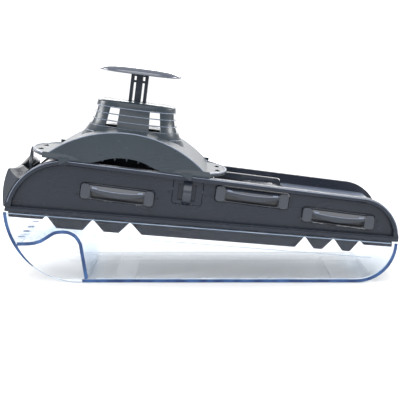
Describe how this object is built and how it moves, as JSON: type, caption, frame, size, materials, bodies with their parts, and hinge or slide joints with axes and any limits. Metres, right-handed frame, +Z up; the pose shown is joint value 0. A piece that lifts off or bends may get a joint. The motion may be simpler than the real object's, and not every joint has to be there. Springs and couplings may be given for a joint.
{
  "type": "mandoline slicer",
  "caption": "Mandoline slicer on a clear catch tub, with a tilting run-in plate, side-loading blade cartridges and a sliding food holder with a sprung plunger.",
  "frame": {"origin": "centre of the tub's flat base, in the middle plane of its width, on the surface it stands on", "axes": "+X along the length towards the low outfeed end, +Y away from the cartridge handles, +Z up"},
  "size_m": [0.3416, 0.1318, 0.1878],
  "materials": {
    "tub_clear": "clear polished plastic, blue at thick edges",
    "foot_strip": "translucent soft strip",
    "frame_slate": "fine satin moulded",
    "gloss_slate": "glossy moulded",
    "holder_slate": "satin gloss moulded",
    "polished_steel": "polished stainless",
    "bright_steel": "turned"
  },
  "bodies": {
    "tub": {"tub_shell": "tub_clear", "foot_strip_left": "foot_strip", "foot_strip_right": "foot_strip"},
    "frame": {"frame_shell": "frame_slate", "end_grip": "gloss_slate", "outfeed_deck": "gloss_slate", "deck_screws": "bright_steel", "run_in_hinge_pin": "bright_steel", "lever_pin": "bright_steel"},
    "run_in": {"run_in_plate": "polished_steel", "run_in_carrier": "frame_slate", "plate_rivets": "bright_steel"},
    "lever": {"thickness_lever": "gloss_slate", "lever_face_plate": "polished_steel"},
    "ramp": {"ramp_slider": "frame_slate"},
    "slice_cartridge": {"slice_tray": "gloss_slate", "slice_blade": "polished_steel", "slice_blade_rivets": "bright_steel", "slice_handle": "gloss_slate"},
    "julienne_cartridge": {"julienne_tray": "gloss_slate", "julienne_blade": "polished_steel", "julienne_teeth": "polished_steel", "julienne_handle": "gloss_slate"},
    "wave_cartridge": {"wave_tray": "gloss_slate", "wave_blade": "polished_steel", "wave_handle": "gloss_slate"},
    "comb_drawer": {"comb_cassette": "frame_slate", "cassette_strap": "gloss_slate", "fine_combs": "polished_steel"},
    "holder": {"holder_shell": "holder_slate", "holder_guide_plate": "holder_slate", "return_spring": "bright_steel"},
    "plunger": {"plunger_cap": "holder_slate", "plunger_stem": "frame_slate", "spring_collar": "holder_slate", "pusher_plate": "holder_slate", "pusher_prongs": "polished_steel", "pusher_screw": "bright_steel"}
  },
  "joints": [
    {"name": "frame_lift", "type": "slide", "parent": "tub", "child": "frame", "axis": [0, 0, 1], "range_m": [0, 0.06]},
    {"name": "lever_turn", "type": "hinge", "parent": "frame", "child": "lever", "pos_m": [-0.155, 0, 0.086], "axis": [0, -1, 0], "range_deg": [0, 15]},
    {"name": "ramp_slide", "type": "slide", "parent": "frame", "child": "ramp", "axis": [0.9921, 0, -0.1257], "range_m": [0, 0.003]},
    {"name": "run_in_tilt", "type": "hinge", "parent": "frame", "child": "run_in", "pos_m": [-0.13996, 0, 0.0927], "axis": [0, -1, 0], "range_deg": [0, 1.06]},
    {"name": "slice_cartridge_pull", "type": "slide", "parent": "frame", "child": "slice_cartridge", "axis": [0, -1, 0], "range_m": [0, 0.115]},
    {"name": "julienne_cartridge_pull", "type": "slide", "parent": "frame", "child": "julienne_cartridge", "axis": [0, -1, 0], "range_m": [0, 0.115]},
    {"name": "wave_cartridge_pull", "type": "slide", "parent": "frame", "child": "wave_cartridge", "axis": [0, -1, 0], "range_m": [0, 0.115]},
    {"name": "comb_drawer_pull", "type": "slide", "parent": "frame", "child": "comb_drawer", "axis": [0, -1, 0], "range_m": [0, 0.09]},
    {"name": "holder_travel", "type": "slide", "parent": "frame", "child": "holder", "axis": [0.9921, 0, -0.1257], "range_m": [0, 0.135]},
    {"name": "plunger_press", "type": "slide", "parent": "holder", "child": "plunger", "axis": [0.1257, 0, 0.9921], "range_m": [-0.016, 0], "stiffness_N_per_m": 120, "springref_m": 0.012, "deforming": ["return_spring"]}
  ],
  "couplings": [
    {"joint": "ramp_slide", "follows": "lever_turn", "m_per_rad": 0.011},
    {"joint": "run_in_tilt", "follows": "lever_turn", "ratio": 0.07}
  ]
}
